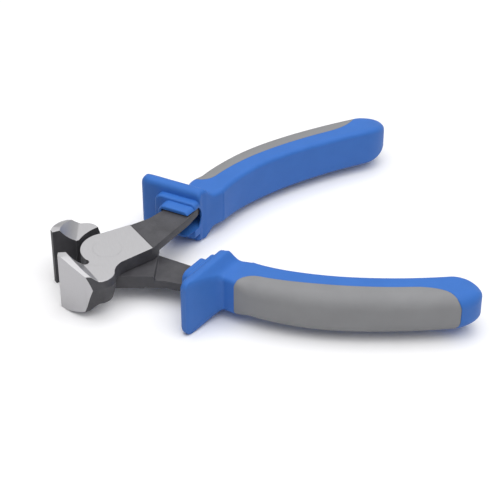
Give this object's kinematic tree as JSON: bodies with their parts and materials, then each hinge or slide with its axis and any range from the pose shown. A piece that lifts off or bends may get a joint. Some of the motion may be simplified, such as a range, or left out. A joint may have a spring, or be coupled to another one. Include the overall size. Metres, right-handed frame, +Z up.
{
  "type": "end cutting nippers",
  "caption": "End cutting nippers with flared ground jaws, a lap joint on a flush rivet, and guarded two-material handles, lying open.",
  "frame": {"origin": "on the pivot axis, at the ground underside of the joint", "axes": "+X from the jaws to the handles along the tool's centre line, +Z up the pivot axis, with the tool lying on its side"},
  "size_m": [0.1473, 0.1296, 0.0239],
  "materials": {
    "forged_steel": "black forged scale with the joint face and jaw faces ground to satin steel",
    "ground_steel": "satin ground flush with the joint face",
    "blue_plastic": "moulded blue sleeve with a soft sheen",
    "grey_rubber": "matt grey soft inlay"
  },
  "bodies": {
    "lower_half": {"lower_lever": "forged_steel", "pivot_rivet": "ground_steel", "lower_sleeve": "blue_plastic", "lower_inlay": "grey_rubber"},
    "upper_half": {"upper_lever": "forged_steel", "upper_sleeve": "blue_plastic", "upper_inlay": "grey_rubber"}
  },
  "joints": [
    {"name": "jaw_pivot", "type": "hinge", "parent": "lower_half", "child": "upper_half", "pos_m": [0, 0, 0.00565], "axis": [0, 0, 1], "range_deg": [-36.6, 31]}
  ]
}
